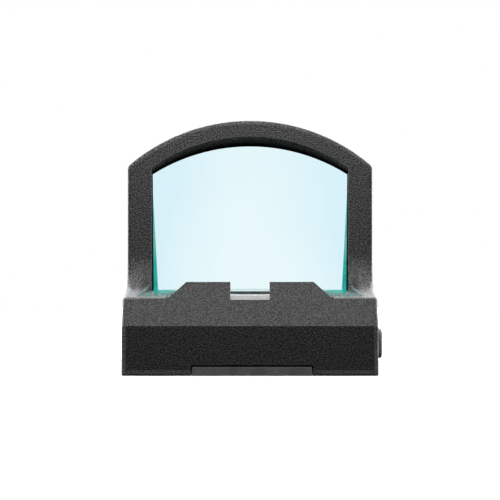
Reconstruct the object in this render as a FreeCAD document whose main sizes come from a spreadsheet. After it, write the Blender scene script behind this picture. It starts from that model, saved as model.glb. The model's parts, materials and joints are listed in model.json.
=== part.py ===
import FreeCAD, Part

import math
import os
import re

import Sketcher

# Compact reflex (red dot) sight with an open emitter, in millimetres.
# Frame: +Z up, +Y forward towards the target, +X to the user's right.
# The origin is at the middle of the flat underside.

SIZES = {
    # housing, outer shape
    "body_width": 25.0,
    "body_length": 41.0,
    "hood_top": 25.45,
    "hood_rear": -7.5,
    "hood_blank": 0.5,
    "hood_front_foot": 4.9,
    "arch_radius": 19.1,
    "corner_radius": 0.75,
    "corner_drop": 0.36,
    "corner_run": 0.28,
    "side_rounding": 0.4,
    "rim_rounding": 0.5,
    "post_rounding": 0.12,
    "lower_face": 4.85,
    "rim_top": 7.65,
    "rim_thickness": 0.8,
    "rail_top": 8.2,
    "swoop_radius": 3.5,
    "front_face": 4.0,
    "front_deck": 6.9,
    "front_chamfer": 2.8,
    "over_cut": 1.0,
    # posts that carry the sighting notch
    "post_top": 9.07,
    "post_front": -14.3,
    "post_inner": 1.95,
    "post_outer": 6.3,
    "post_foot": 8.2,
    "notch_floor": 7.35,
    # hood opening and deck
    "opening_half": 10.05,
    "opening_top": 22.9,
    "flare_top": 23.83,
    "flare_radius": 17.5,
    "flare_depth": 2.4,
    "flare_foot": 15.0,
    "flare_start": 0.01,
    "deck_floor": 6.9,
    "deck_half_rear": 11.2,
    "sill_top": 7.75,
    "sill_rear": -2.8,
    # lens and its seat
    "lens_tilt": 15.0,
    "lens_foot_y": -0.75,
    "lens_foot_z": 7.2,
    "lens_half": 10.25,
    "lens_height": 16.5,
    "lens_radius": 19.1,
    "lens_gap": 0.1,
    "lens_sphere": 110.0,
    "lens_centre": 8.4,
    "rear_vertex": 0.8,
    "joint_vertex": 1.7,
    "front_vertex": 2.6,
    "cement": 0.03,
    "seat_depth": 10.25,
    "bond_foot_half": 9.62,
    "bond_fade": 11.0,
    "bond_foot": 0.7,
    "bond_lip": 0.85,
    "bond_reach": 0.45,
    "bond_step": 0.2,
    "bond_inset": 0.4,
    # emitter trough and slides
    "trough_left": -6.3,
    "trough_right": 4.4,
    "trough_rear": -14.1,
    "trough_front": -8.5,
    "trough_floor": 4.6,
    "slide_gap": 0.05,
    "slide_left": -5.0,
    "slide_right": 3.6,
    "slide_rear": -13.9,
    "slide_front": -8.95,
    "slide_top": 6.4,
    "slide_front_top": 5.9,
    "slide_floor": 5.1,
    "slide_wall": 0.5,
    "block_half": 2.75,
    "block_bottom": 5.7,
    "block_top": 7.72,
    "flex_half": 0.6,
    "flex_thickness": 0.08,
    "flex_slot_half": 1.3,
    "flex_top": 6.5,
    "flex_foot": 2.8,
    "led_half": 0.5,
    "led_depth": 0.4,
    "led_bottom": 6.85,
    "led_height": 0.5,
    "mask_half": 0.8,
    "mask_thickness": 0.08,
    "mask_bottom": 6.6,
    "mask_height": 1.0,
    "pinhole": 0.06,
    # adjusting screws
    "windage_y": -11.3,
    "windage_z": 5.5,
    "windage_head": 1.3,
    "windage_head_out": -12.3,
    "windage_head_in": -11.0,
    "windage_step": -10.2,
    "windage_thread": 0.8,
    "windage_groove": 0.55,
    "windage_tip": -3.5,
    "windage_clip_x": -6.2,
    "clip_thickness": 0.2,
    "clip_outer": 1.3,
    "clip_fit": 0.05,
    "seal_wire": 0.28,
    "seal_squeeze": 0.04,
    "screw_fit": 0.05,
    "screw_slot": 0.35,
    "screw_slot_depth": 0.5,
    "elevation_y": -12.1,
    "elevation_thread": 0.7,
    "elevation_journal": 0.45,
    "elevation_foot": 0.85,
    "elevation_foot_bottom": 4.68,
    "elevation_foot_top": 4.86,
    "elevation_top": 7.45,
    "elevation_clip_outer": 0.95,
    "thread_fit": 0.02,
    "spring_wire": 0.12,
    "spring_end": 0.06,
    "windage_spring_turns": 5,
    "elevation_spring_turns": 2,
    "spring_pocket": 0.95,
    "spring_pocket_end": 6.3,
    "windage_spring_mean": 0.72,
    "elevation_spring_mean": 1.15,
    # electronics
    "cavity_half": 9.2,
    "cavity_rear": -18.6,
    "cavity_front": -7.4,
    "cavity_roof": 3.9,
    "board_half": 8.9,
    "board_rear": -18.3,
    "board_front": -7.5,
    "board_bottom": 1.5,
    "board_top": 2.1,
    "board_screw_x": 7.6,
    "board_screw_y": -17.2,
    "boss_radius": 1.25,
    "board_screw_head": 1.0,
    "board_screw_head_bottom": 0.98,
    "board_screw_shank": 0.5,
    "board_screw_top": 3.6,
    "port_inner": 2.0,
    "port_outer": 3.8,
    "port_rear": -7.9,
    "port_floor": 3.6,
    "port_roof": 4.9,
    "contact_margin": 0.1,
    "contact_bottom": 4.5,
    "contact_thickness": 0.15,
    "contact_rear": -7.75,
    "dimple_reach": 1.0,
    "blade_y": -1.9,
    "blade_bottom": 1.5,
    "connector_half": 1.8,
    "connector_depth": 0.6,
    "connector_height": 1.1,
    "connector_floor": 0.2,
    "connector_mouth": 0.15,
    # side button and its switch
    "button_y": -9.5,
    "button_z": 2.86,
    "button_half_length": 3.15,
    "button_half_height": 1.5,
    "button_corner": 0.7,
    "button_rounding": 0.3,
    "button_face": 13.25,
    "button_flange_inner": 10.4,
    "button_flange_outer": 11.05,
    "button_flange_length": 3.6,
    "button_flange_height": 1.8,
    "button_flange_corner": 0.3,
    "flange_room_length": 0.2,
    "flange_room_height": 0.1,
    "wall_inside": 11.1,
    "button_fit": 0.05,
    "button_seal_outer": 11.6,
    "button_seal_border": 0.35,
    "button_seal_fit": 0.02,
    "switch_inner": 6.0,
    "switch_outer": 8.6,
    "switch_half": 1.9,
    "switch_top": 3.7,
    "plunger_half": 0.6,
    "plunger_bottom": 2.4,
    "plunger_top": 3.3,
    "plunger_inner": 7.6,
    "plunger_fit": 0.05,
    "plunger_room": 0.6,
    "plunger_end": 0.02,
    # battery and bottom cover
    "cell_y": 6.0,
    "cell_radius": 8.0,
    "cell_height": 3.2,
    "cell_bottom": 1.1,
    "cell_cap_radius": 6.6,
    "cell_cap_step": 0.35,
    "bay_radius": 8.25,
    "bay_roof": 4.95,
    "insulator_thickness": 0.1,
    "cover_half": 9.7,
    "cover_rear": -19.1,
    "cover_bottom": 0.1,
    "cover_top": 0.88,
    "cover_gap": 0.1,
    "ledge": 0.9,
    "rib_width": 1.0,
    "rib_inset": 0.1,
    "tongue_top_half": 5.77,
    "tongue_foot_half": 5.88,
    "tongue_shift": 0.2,
    "tongue_gap": 0.17,
    "tongue_setback": 0.02,
    "cover_screw_x": 7.9,
    "cover_screw_y": -5.4,
    "cover_screw_head": 1.35,
    "cover_screw_shank": 0.7,
    "cover_screw_top": 3.4,
    "cover_screw_sink": 0.45,
    "gasket_radius": 8.9,
    "gasket_half_width": 0.35,
    "gasket_height": 0.5,
    "gasket_fit": 0.03,
    # mounting interface
    "mount_x": 8.4,
    "mount_y": 14.4,
    "mount_hole": 1.6,
    "mount_head": 2.9,
    "mount_seat": 2.6,
    "recess_x": 3.8,
    "recess_y": 17.6,
    "recess_radius": 1.2,
    "recess_depth": 1.5,
}

# chips on the circuit board: middle in X and Y, then length, width and height
CHIP_COLUMNS = ("x", "y", "length", "width", "height")
CHIPS = {
    "microcontroller": (-4.2, -13.4, 4.0, 4.0, 0.8),
    "motion_sensor": (-6.6, -9.6, 2.0, 2.0, 0.9),
    "voltage_regulator": (2.4, -14.6, 2.9, 1.6, 1.0),
    "capacitor": (-1.6, -11.8, 1.0, 0.6, 0.55),
    "resistor": (-5.0, -16.8, 1.0, 0.5, 0.35),
}
for chip_name, chip_sizes in CHIPS.items():
    for column, chip_size in zip(CHIP_COLUMNS, chip_sizes):
        SIZES[f"{chip_name}_{column}"] = chip_size
SIZES.update({"capacitor_count": 4, "capacitor_pitch": 1.5, "resistor_count": 5, "resistor_pitch": 1.4})

# sketch plane and the side of it that +X, +Y or +Z lies on
PLANES = {"X": ("YZ_Plane", 1), "Y": ("XZ_Plane", -1), "Z": ("XY_Plane", 1)}
COINCIDENCE = 1e-6
TOUCH = 1e-3
SMALLEST_CUT = 1e-4

doc = FreeCAD.newDocument("ReflexSight")
sheet = doc.addObject("Spreadsheet::Sheet", "Sizes")
for row, (alias, size) in enumerate(SIZES.items(), start=1):
    sheet.set(f"A{row}", str(size))
    sheet.setAlias(f"A{row}", alias)
doc.recompute()

ALIAS = re.compile(r"\b(" + "|".join(sorted(SIZES, key=len, reverse=True)) + r")\b")
nodes = []


def bound(formula):
    """The document formula for one written in the sheet's aliases."""
    return ALIAS.sub(r"Sizes.\1", str(formula))


def value(formula):
    result = sheet.evalExpression(str(formula))
    return float(getattr(result, "Value", result))


def vector(x, y, z=0):
    return FreeCAD.Vector(value(x), value(y), value(z))


def finished(name, shape_object):
    """Registers an object as the sub-part that the file NAME.step holds."""
    shape_object.Label = name
    nodes.append(shape_object)
    return shape_object


def arc_through(start, end, radius):
    """The minor arc from start to end. A positive radius bulges to the right of the way travelled."""
    chord = end - start
    middle = (start + end) * 0.5
    right = FreeCAD.Vector(chord.y, -chord.x, 0).normalize()
    depth = math.sqrt(max(radius**2 - chord.Length**2 / 4, 0))
    side = 1 if radius > 0 else -1
    return Part.Arc(start, middle + right * side * (abs(radius) - depth), end)


def fix_point(sketch, curve, end, x, y):
    """Holds one end of a curve at a place given by two formulas."""
    for kind, formula in (("DistanceX", x), ("DistanceY", y)):
        number = sketch.addConstraint(Sketcher.Constraint(kind, -1, 1, curve, end, value(formula)))
        sketch.setExpression(f"Constraints[{number}]", bound(formula))


def fix_radius(sketch, curve, radius):
    number = sketch.addConstraint(Sketcher.Constraint("Radius", curve, abs(value(radius))))
    sketch.setExpression(f"Constraints[{number}]", f"abs({bound(radius)})")


def draw_loop(sketch, points):
    """A closed outline. Each point is (x, y), or (x, y, radius) where an arc leads to it."""
    first = sketch.GeometryCount
    places = [vector(p[0], p[1]) for p in points]
    for i, point in enumerate(points):
        start, end = places[i - 1], places[i]
        if len(point) == 3:
            sketch.addGeometry(arc_through(start, end, value(point[2])))
            fix_radius(sketch, first + i, point[2])
        else:
            sketch.addGeometry(Part.LineSegment(start, end))
    heads = []
    for i, place in enumerate(places):
        at_end = sketch.getPoint(first + i, 2).distanceToPoint(place) < COINCIDENCE
        heads.append(2 if at_end else 1)
    for i, point in enumerate(points):
        after = (i + 1) % len(points)
        tail = 3 - heads[after]
        sketch.addConstraint(Sketcher.Constraint("Coincident", first + i, heads[i], first + after, tail))
        fix_point(sketch, first + i, heads[i], point[0], point[1])


def draw_circle(sketch, x, y, radius):
    circle = Part.Circle(vector(x, y), FreeCAD.Vector(0, 0, 1), value(radius))
    number = sketch.addGeometry(circle)
    fix_point(sketch, number, 3, x, y)
    fix_radius(sketch, number, radius)


def draw(body, name, role, offset, outlines):
    """A sketch on one of the body's origin planes, moved along the plane's normal."""
    sketch = body.newObject("Sketcher::SketchObject", name)
    plane = next(f for f in body.Origin.OriginFeatures if f.Role == role)
    sketch.AttachmentSupport = [(plane, "")]
    sketch.MapMode = "FlatFace"
    sketch.setExpression("AttachmentOffset.Base.z", bound(offset))
    for outline in outlines:
        if isinstance(outline, tuple):
            draw_circle(sketch, *outline)
        else:
            draw_loop(sketch, outline)
    return sketch


def prism(body, name, along, low, high, *outlines, cut=False):
    """A pad, or a pocket where cut is set, of outlines between two stations on an axis."""
    role, sense = PLANES[along]
    sketch = draw(body, name + "_sketch", role, f"{sense} * ({low})", outlines)
    feature = body.newObject("PartDesign::Pocket" if cut else "PartDesign::Pad", name)
    feature.Profile = sketch
    feature.setExpression("Length", bound(f"({high}) - ({low})"))
    feature.Reversed = (sense < 0) != cut
    return feature


def round_edges(body, feature, name, radius, wanted):
    """Rounds the feature's edges whose bounding boxes are wanted."""
    doc.recompute()
    edges = [
        f"Edge{number}"
        for number, edge in enumerate(feature.Shape.Edges, start=1)
        if wanted(edge.BoundBox)
    ]
    rounding = body.newObject("PartDesign::Fillet", name)
    rounding.Base = (feature, edges)
    rounding.setExpression("Radius", bound(radius))
    return rounding


def new_body(name):
    body = doc.addObject("PartDesign::Body", name)
    return finished(name, body)


def rectangle(left, right, bottom, top):
    return [(left, bottom), (right, bottom), (right, top), (left, top)]


def rounded(x, y, half_width, half_height, corner):
    """A rectangle about a centre with rounded corners."""
    left, right = f"({x}) - ({half_width})", f"({x}) + ({half_width})"
    bottom, top = f"({y}) - ({half_height})", f"({y}) + ({half_height})"
    return [
        (f"{left} + ({corner})", bottom),
        (f"{right} - ({corner})", bottom),
        (right, f"{bottom} + ({corner})", corner),
        (right, f"{top} - ({corner})"),
        (f"{right} - ({corner})", top, corner),
        (f"{left} + ({corner})", top),
        (left, f"{top} - ({corner})", corner),
        (left, f"{bottom} + ({corner})"),
        (f"{left} + ({corner})", bottom, corner),
    ][1:]


def pair(x, y, radius):
    """The same circle on the right and on the left."""
    return [(x, y, radius), (f"-{x}", y, radius)]


def arch(half_width, foot, top, radius):
    """A doorway outline: straight sides under a flat arc."""
    corner = f"({top}) - ({radius}) + sqrt(({radius})^2 - ({half_width})^2)"
    return [
        (f"-({half_width})", foot),
        (half_width, foot),
        (half_width, corner),
        (f"-({half_width})", corner, radius),
    ]


def turned(name, axis, x, y, z, *stations):
    """A round piece of coaxial cylinders along an axis: each station is (start, end, radius)."""
    turn = {
        "X": FreeCAD.Rotation(FreeCAD.Vector(0, 1, 0), 90),
        "Z": FreeCAD.Rotation(),
    }[axis]
    parts = []
    for number, (start, end, radius) in enumerate(stations):
        part = doc.addObject("Part::Cylinder", f"{name}_step{number}")
        part.Placement = FreeCAD.Placement(FreeCAD.Vector(), turn)
        part.setExpression("Radius", bound(radius))
        part.setExpression("Height", bound(f"({end}) - ({start})"))
        place = {"x": x, "y": y, "z": z}
        place[axis.lower()] = start
        for letter, formula in place.items():
            part.setExpression(f"Placement.Base.{letter}", bound(formula))
        parts.append(part)
    if len(parts) == 1:
        return parts[0]
    union = doc.addObject("Part::MultiFuse", f"{name}_turned")
    union.Shapes = parts
    return union


def cut_away(name, base, tool):
    cut = doc.addObject("Part::Cut", f"{name}_cut")
    cut.Base = base
    cut.Tool = tool
    return cut


def block(name, left, right, rear, front, bottom, top):
    """A plain box between six planes."""
    box = doc.addObject("Part::Box", name)
    sides = {"Length": (left, right), "Width": (rear, front), "Height": (bottom, top)}
    for (side, (low, high)), letter in zip(sides.items(), "xyz"):
        box.setExpression(side, bound(f"({high}) - ({low})"))
        box.setExpression(f"Placement.Base.{letter}", bound(low))
    return box


def group(name, members):
    """Identical small pieces that share one node as separate solids."""
    compound = doc.addObject("Part::Compound", name)
    compound.Links = members
    return finished(name, compound)


def side_profile():
    """The housing seen from its right side, as (Y, Z), counter-clockwise."""
    rear, front = "-body_length / 2", "body_length / 2"
    rim = f"{rear} + rim_top - lower_face"
    blank_top = "hood_top + hood_blank"
    return [
        (rear, "0"),
        (front, "0"),
        (front, "front_face"),
        (f"{front} - front_chamfer", "front_deck"),
        ("hood_front_foot", "front_deck"),
        (f"hood_front_foot - ({blank_top} - front_deck) * tan(lens_tilt)", blank_top),
        ("hood_rear", blank_top),
        ("hood_rear", "rail_top + swoop_radius"),
        ("hood_rear - swoop_radius", "rail_top", "-swoop_radius"),
        (f"{rim} + rim_thickness", "rim_top"),
        (rim, "rim_top"),
        (rear, "lower_face"),
    ]


def above_arch():
    """The waste above the hood's outer arc, as (X, Z)."""
    half, out, over = "body_width / 2", "(body_width / 2 + over_cut)", "hood_top + over_cut"
    foot = f"hood_top - arch_radius + sqrt(arch_radius^2 - ({half})^2) - corner_drop"
    shoulder = f"({half} - corner_run)"
    shoulder_top = f"hood_top - arch_radius + sqrt(arch_radius^2 - {shoulder}^2)"
    return [
        (out, foot),
        (out, over),
        (f"-{out}", over),
        (f"-{out}", foot),
        (f"-{half}", foot),
        (f"-{shoulder}", shoulder_top, "-corner_radius"),
        (shoulder, shoulder_top, "-arch_radius"),
        (half, foot, "-corner_radius"),
    ]


def post(side):
    """One post beside the notch, as (X, Z); side is 1 on the right and -1 on the left."""
    points = [
        ("post_inner", "deck_floor"),
        ("post_foot", "deck_floor"),
        ("post_foot", "notch_floor"),
        ("post_outer", "post_top"),
        ("post_inner", "post_top"),
    ]
    mirrored = [(f"{side} * {x}", z) for x, z in points]
    return mirrored if side > 0 else mirrored[::-1]


def cover_outline(margin):
    """The bottom cover seen from below: a rectangle whose front end is round."""
    half = f"(cover_half + {margin})"
    return [
        (f"-{half}", f"cover_rear - {margin}"),
        (half, f"cover_rear - {margin}"),
        (half, "cell_y"),
        ("0", f"cell_y + {half}", half),
        (f"-{half}", "cell_y", half),
    ]


def tongue_outline(gap, bottom, top):
    """The cover's rear tongue as (X, Z), wider at its foot."""
    return [
        (f"tongue_shift - tongue_foot_half - {gap}", bottom),
        (f"tongue_shift + tongue_foot_half + {gap}", bottom),
        (f"tongue_shift + tongue_top_half + {gap}", top),
        (f"tongue_shift - tongue_top_half - {gap}", top),
    ]


def key_outline(margin):
    """The side button's key, as (Y, Z), with a margin all round."""
    half_length, half_height = f"button_half_length + {margin}", f"button_half_height + {margin}"
    return rounded("button_y", "button_z", half_length, half_height, "button_corner")


def housing_shell(body):
    """The outer shape: side profile, arched hood, open deck between two rails, and two posts."""
    half, rear = "body_width / 2", "-body_length / 2"
    rim = f"{rear} + rim_top - lower_face"
    prism(body, "side_block", "X", f"-{half}", half, side_profile())
    behind, before = "hood_rear - over_cut", "hood_front_foot + over_cut"
    prism(body, "outer_arch", "Y", behind, before, above_arch(), cut=True)
    deck = [
        ("-opening_half", "sill_rear"),
        ("-opening_half", "hood_rear"),
        ("-deck_half_rear", f"{rim} + rim_thickness"),
        ("deck_half_rear", f"{rim} + rim_thickness"),
        ("opening_half", "hood_rear"),
        ("opening_half", "sill_rear"),
    ]
    prism(body, "deck", "Z", "deck_floor", "rail_top + swoop_radius + over_cut", deck, cut=True)
    door = arch("opening_half", "sill_top", "opening_top", "lens_radius")
    prism(body, "hood_opening", "Y", behind, before, door, cut=True)
    prism(body, "posts", "Y", rear, "post_front", post(1), post(-1))
    slope = [
        (f"{rear} - over_cut", "lower_face - over_cut"),
        (f"{rear} + post_top - lower_face + over_cut", "post_top + over_cut"),
        (f"{rear} - over_cut", "post_top + over_cut"),
    ]
    prism(body, "rear_slope", "X", f"-{half}", half, slope, cut=True)
    notch = rectangle("-post_inner", "post_inner", "notch_floor", "post_top")
    shell = prism(body, "notch", "Y", rear, "post_front", notch, cut=True)
    return round_housing(body, shell)


def round_housing(body, shell):
    """Rounds the outline of both sides and the hood, then the rim and the tops of the posts."""
    half, waist, lip = value("body_width / 2"), value("hood_top") / 2, value("opening_top")
    rim_y = value("rim_top - lower_face - body_length / 2")
    slope_y = value("post_top - lower_face - body_length / 2")

    def outline(box):
        flat_side = box.XMin > half - TOUCH or box.XMax < TOUCH - half
        along = box.YMax - box.YMin > value("hood_front_foot")
        shoulder = box.ZMin > waist and max(box.XMax, -box.XMin) > half - value("corner_run") - TOUCH
        over = box.ZMin > waist and box.ZMax > lip + TOUCH
        return (flat_side and box.ZMax > TOUCH and not (along and box.ZMin > waist)) or (
            (shoulder or over) and not along
        )

    def crest(top, y):
        def on_crest(box):
            off_top = max(abs(box.ZMin - top), abs(box.ZMax - top))
            off_line = max(abs(box.YMin - y), abs(box.YMax - y))
            return max(off_top, off_line) < TOUCH

        return on_crest

    rim_crest = crest(value("rim_top"), rim_y)
    post_crest = crest(value("post_top"), slope_y)
    sides = round_edges(body, shell, "side_rounding_fillet", "side_rounding", outline)
    rims = round_edges(body, sides, "rim_rounding_fillet", "rim_rounding", rim_crest)
    return round_edges(body, rims, "post_rounding_fillet", "post_rounding", post_crest)


def hood_flare(body):
    """The hood's lip slopes in from its rear face to the lens."""
    stations = (
        ("hood_rear - flare_start", "flare_top", "flare_radius"),
        ("hood_rear + flare_depth", "opening_top", "lens_radius"),
    )
    sketches = [
        draw(body, f"flare_{n}", "XZ_Plane", f"-({y})", [arch("opening_half", "flare_foot", top, radius)])
        for n, (y, top, radius) in enumerate(stations)
    ]
    loft = body.newObject("PartDesign::SubtractiveLoft", "hood_flare")
    loft.Profile = sketches[0]
    loft.Sections = [sketches[1]]
    loft.Ruled = True


def lens_seat(body):
    """A tilted pocket, open to the front, that the lens is bonded into."""
    half, top = "lens_half + lens_gap", "lens_height + lens_gap"
    outline = arch(half, "-lens_gap", top, "lens_radius")
    seat = prism(body, "lens_seat", "Y", "0", "seat_depth", outline, cut=True)
    sketch = seat.Profile[0]
    turn = FreeCAD.Rotation(FreeCAD.Vector(1, 0, 0), value("lens_tilt"))
    sketch.setExpression("AttachmentOffset.Base.z", None)
    sketch.AttachmentOffset = FreeCAD.Placement(FreeCAD.Vector(), turn)
    sketch.setExpression("AttachmentOffset.Base.y", bound("lens_foot_z"))
    sketch.setExpression("AttachmentOffset.Base.z", bound("-lens_foot_y"))
    sketch.setExpression("AttachmentOffset.Rotation.Angle", bound("lens_tilt"))


def housing_inside(body):
    """Trough, electronics cavity, battery bay, ports and the recess for the cover."""
    trough = rectangle("trough_left", "trough_right", "trough_rear", "trough_front")
    prism(body, "trough", "Z", "trough_floor", "deck_floor + over_cut", trough, cut=True)
    clip_end = "windage_clip_x + clip_thickness + clip_fit"
    reach = "(clip_outer + clip_fit)"
    clip = rectangle("trough_left", clip_end, f"windage_y - {reach}", f"windage_y + {reach}")
    prism(body, "clip_pocket", "Z", f"windage_z - {reach}", "trough_floor", clip, cut=True)
    prism(body, "cover_recess", "Z", "0", "ledge", cover_outline("cover_gap"), cut=True)
    slot = tongue_outline("tongue_gap", "-over_cut", "ledge + tongue_gap")
    prism(body, "tongue_slot", "Y", "-body_length / 2", "cover_rear + over_cut", slot, cut=True)
    cavity = rectangle("-cavity_half", "cavity_half", "cavity_rear", "cavity_front")
    prism(body, "cavity", "Z", "0", "cavity_roof", cavity, cut=True)
    bosses = pair("board_screw_x", "board_screw_y", "boss_radius")
    prism(body, "board_bosses", "Z", "board_top", "cavity_roof", *bosses)
    bores = pair("board_screw_x", "board_screw_y", "board_screw_shank")
    prism(body, "boss_bores", "Z", "board_top", "cavity_roof", *bores, cut=True)
    prism(body, "battery_bay", "Z", "0", "bay_roof", ("0", "cell_y", "bay_radius"), cut=True)
    groove = [
        ("0", "cell_y", f"gasket_radius {sign} (gasket_half_width + gasket_fit)") for sign in "+-"
    ]
    prism(body, "gasket_groove", "Z", "ledge", "ledge + gasket_height", *groove, cut=True)
    ports = [
        rectangle("port_inner", "port_outer", "port_floor", "port_roof"),
        rectangle("-port_outer", "-port_inner", "port_floor", "port_roof"),
    ]
    prism(body, "contact_ports", "Y", "port_rear", "cell_y - bay_radius + over_cut", *ports, cut=True)
    blade = rectangle("-port_outer", "-port_inner", "blade_y - 2 * contact_margin", "0")
    prism(body, "blade_pocket", "Z", "blade_bottom - contact_margin", "port_roof", blade, cut=True)
    flex = rectangle("-flex_slot_half", "flex_slot_half", "slide_front", "trough_front")
    prism(body, "flex_slot", "Z", "cavity_roof", "trough_floor", flex, cut=True)


def housing_fittings(body):
    """Bores and pockets for the adjusting screws, the button and the mount."""
    axis = ("windage_y", "windage_z")
    head = (*axis, "windage_head + screw_fit")
    shank = (*axis, "windage_thread + screw_fit")
    prism(body, "windage_recess", "X", "-body_width / 2", "windage_step", head, cut=True)
    prism(body, "windage_bore", "X", "windage_step", "trough_left", shank, cut=True)
    spring = (*axis, "spring_pocket")
    prism(body, "spring_pocket", "X", "trough_right", "spring_pocket_end", spring, cut=True)
    place = ("button_y", "button_z")
    pocket = rounded(
        *place,
        "button_flange_length + flange_room_length",
        "button_flange_height + flange_room_height",
        "button_flange_corner",
    )
    prism(body, "button_pocket", "X", "switch_outer", "wall_inside", pocket, cut=True)
    slot = key_outline("button_fit")
    prism(body, "button_slot", "X", "wall_inside", "body_width / 2", slot, cut=True)
    seat = key_outline("button_seal_border")
    prism(body, "button_seal_seat", "X", "wall_inside", "button_seal_outer", seat, cut=True)
    holes = pair("mount_x", "mount_y", "mount_hole")
    prism(body, "mount_holes", "Z", "0", "front_deck", *holes, cut=True)
    heads = pair("mount_x", "mount_y", "mount_head")
    prism(body, "mount_seats", "Z", "mount_seat", "front_deck", *heads, cut=True)
    recesses = pair("recess_x", "recess_y", "recess_radius")
    prism(body, "locating_recesses", "Z", "0", "recess_depth", *recesses, cut=True)
    screws = pair("cover_screw_x", "cover_screw_y", "cover_screw_shank")
    prism(body, "cover_screw_bores", "Z", "0", "cover_screw_top", *screws, cut=True)


def housing():
    body = new_body("housing")
    housing_shell(body)
    hood_flare(body)
    lens_seat(body)
    housing_inside(body)
    housing_fittings(body)


def lens_ball(name, vertex):
    """A large ball whose front surface crosses the optical axis at the vertex."""
    ball = doc.addObject("Part::Sphere", name)
    ball.setExpression("Radius", bound("lens_sphere"))
    ball.setExpression("Placement.Base.y", bound(f"{vertex} - lens_sphere"))
    ball.setExpression("Placement.Base.z", bound("lens_centre"))
    return ball


def tilt_lens(piece):
    """Leans a piece, modelled upright, back to the lens's place in the hood."""
    turn = FreeCAD.Rotation(FreeCAD.Vector(1, 0, 0), value("lens_tilt"))
    piece.Placement = FreeCAD.Placement(FreeCAD.Vector(), turn)
    piece.setExpression("Placement.Rotation.Angle", bound("lens_tilt"))
    piece.setExpression("Placement.Base.y", bound("lens_foot_y"))
    piece.setExpression("Placement.Base.z", bound("lens_foot_z"))


def lens_blank(name):
    """A doorway-shaped plate, thicker than the lens."""
    blank = doc.addObject("PartDesign::Body", name + "_blank")
    outline = arch("lens_half", "0", "lens_height", "lens_radius")
    prism(blank, name + "_plate", "Y", "-over_cut", "front_vertex + over_cut", outline)
    return blank


def lens_element(name, rear, front):
    """One glass of the cemented pair, between two coaxial spherical surfaces."""
    blank = lens_blank(name)
    hollow = cut_away(name, blank, lens_ball(name + "_rear_ball", rear))
    element = doc.addObject("Part::Common", name)
    element.Base = hollow
    element.Tool = lens_ball(name + "_front_ball", front)
    tilt_lens(element)
    return finished(name, element)


def lens_bond():
    """Clear adhesive round the lens, with a fillet that widens down both sides and along the foot."""
    ring = doc.addObject("PartDesign::Body", "bond_ring_body")
    outer = arch("lens_half + lens_gap", "-lens_gap", "lens_height + lens_gap", "lens_radius")
    inner = arch("lens_half", "0", "lens_height", "lens_radius")
    prism(ring, "bond_ring", "Y", "0", "front_vertex - bond_inset", outer, inner)
    fillet = [
        ("-opening_half", "bond_foot"),
        ("opening_half", "bond_foot"),
        ("opening_half", "bond_fade"),
        ("bond_foot_half", "bond_lip"),
        ("-bond_foot_half", "bond_lip"),
        ("-opening_half", "bond_fade"),
    ]
    prism(ring, "bond_fillet", "Y", "-bond_reach", "rear_vertex + bond_step", fillet)
    glass = cut_away("bond_lens", lens_blank("bond_lens"), lens_ball("bond_ball", "rear_vertex"))
    bond = cut_away("lens_bond", ring, glass)
    tilt_lens(bond)
    return finished("lens_bond", bond)


def windage_slide():
    """The cross slide: a tray for the emitter block, tapped on its left for the windage screw."""
    body = new_body("windage_slide")
    plan = rectangle("slide_left", "slide_right", "slide_rear", "slide_front")
    prism(body, "slide_block", "Z", "trough_floor + slide_gap", "slide_top", plan)
    left, right = "-block_half - slide_gap", "block_half + slide_gap"
    rear, front = "slide_rear + slide_wall", "slide_front - slide_wall"
    prism(body, "tray", "Z", "slide_floor", "slide_top", rectangle(left, right, rear, front), cut=True)
    window = rectangle(left, right, front, "slide_front")
    prism(body, "front_window", "Z", "slide_front_top", "slide_top", window, cut=True)
    tapped = ("windage_y", "windage_z", "windage_thread + thread_fit")
    prism(body, "windage_tapping", "X", "slide_left", left, tapped, cut=True)
    journal = ("0", "elevation_y", "elevation_journal + thread_fit")
    prism(body, "journal_bore", "Z", "trough_floor", "slide_floor", journal, cut=True)
    foot = ("0", "elevation_y", "elevation_foot + thread_fit")
    prism(body, "foot_bore", "Z", "trough_floor", "elevation_foot_top + thread_fit", foot, cut=True)


def emitter_block():
    """The bright block that carries the light source and climbs the elevation screw."""
    body = new_body("emitter_block")
    rear, front = "slide_rear + slide_wall + slide_gap", "slide_front - slide_wall - slide_gap"
    plan = rectangle("-block_half", "block_half", rear, front)
    prism(body, "block", "Z", "block_bottom", "block_top", plan)
    tapped = ("0", "elevation_y", "elevation_thread + thread_fit")
    prism(body, "elevation_tapping", "Z", "block_bottom", "block_top", tapped, cut=True)


def light_source():
    """The light-emitting chip, the pinhole mask in front of it and the flexible circuit below."""
    face = "(slide_front - slide_wall - slide_gap)"
    front = f"{face} + led_depth"
    die = block("led_die", "-led_half", "led_half", face, front, "led_bottom", "led_bottom + led_height")
    finished("led_chip", die)
    mask = new_body("reticle_mask")
    outline = rectangle("-mask_half", "mask_half", "mask_bottom", "mask_bottom + mask_height")
    hole = ("0", "led_bottom + led_height / 2", "pinhole")
    prism(mask, "mask_foil", "Y", front, f"{front} + mask_thickness", outline, hole)
    flex = new_body("led_flex_cable")
    drop = "(slide_front + 2 * flex_thickness)"
    path = [
        (face, "flex_top"),
        (drop, "flex_top"),
        (drop, "flex_foot"),
        (f"{drop} + flex_thickness", "flex_foot"),
        (f"{drop} + flex_thickness", "flex_top + flex_thickness"),
        (face, "flex_top + flex_thickness"),
    ]
    prism(flex, "flex_ribbon", "X", "-flex_half", "flex_half", path)


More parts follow.
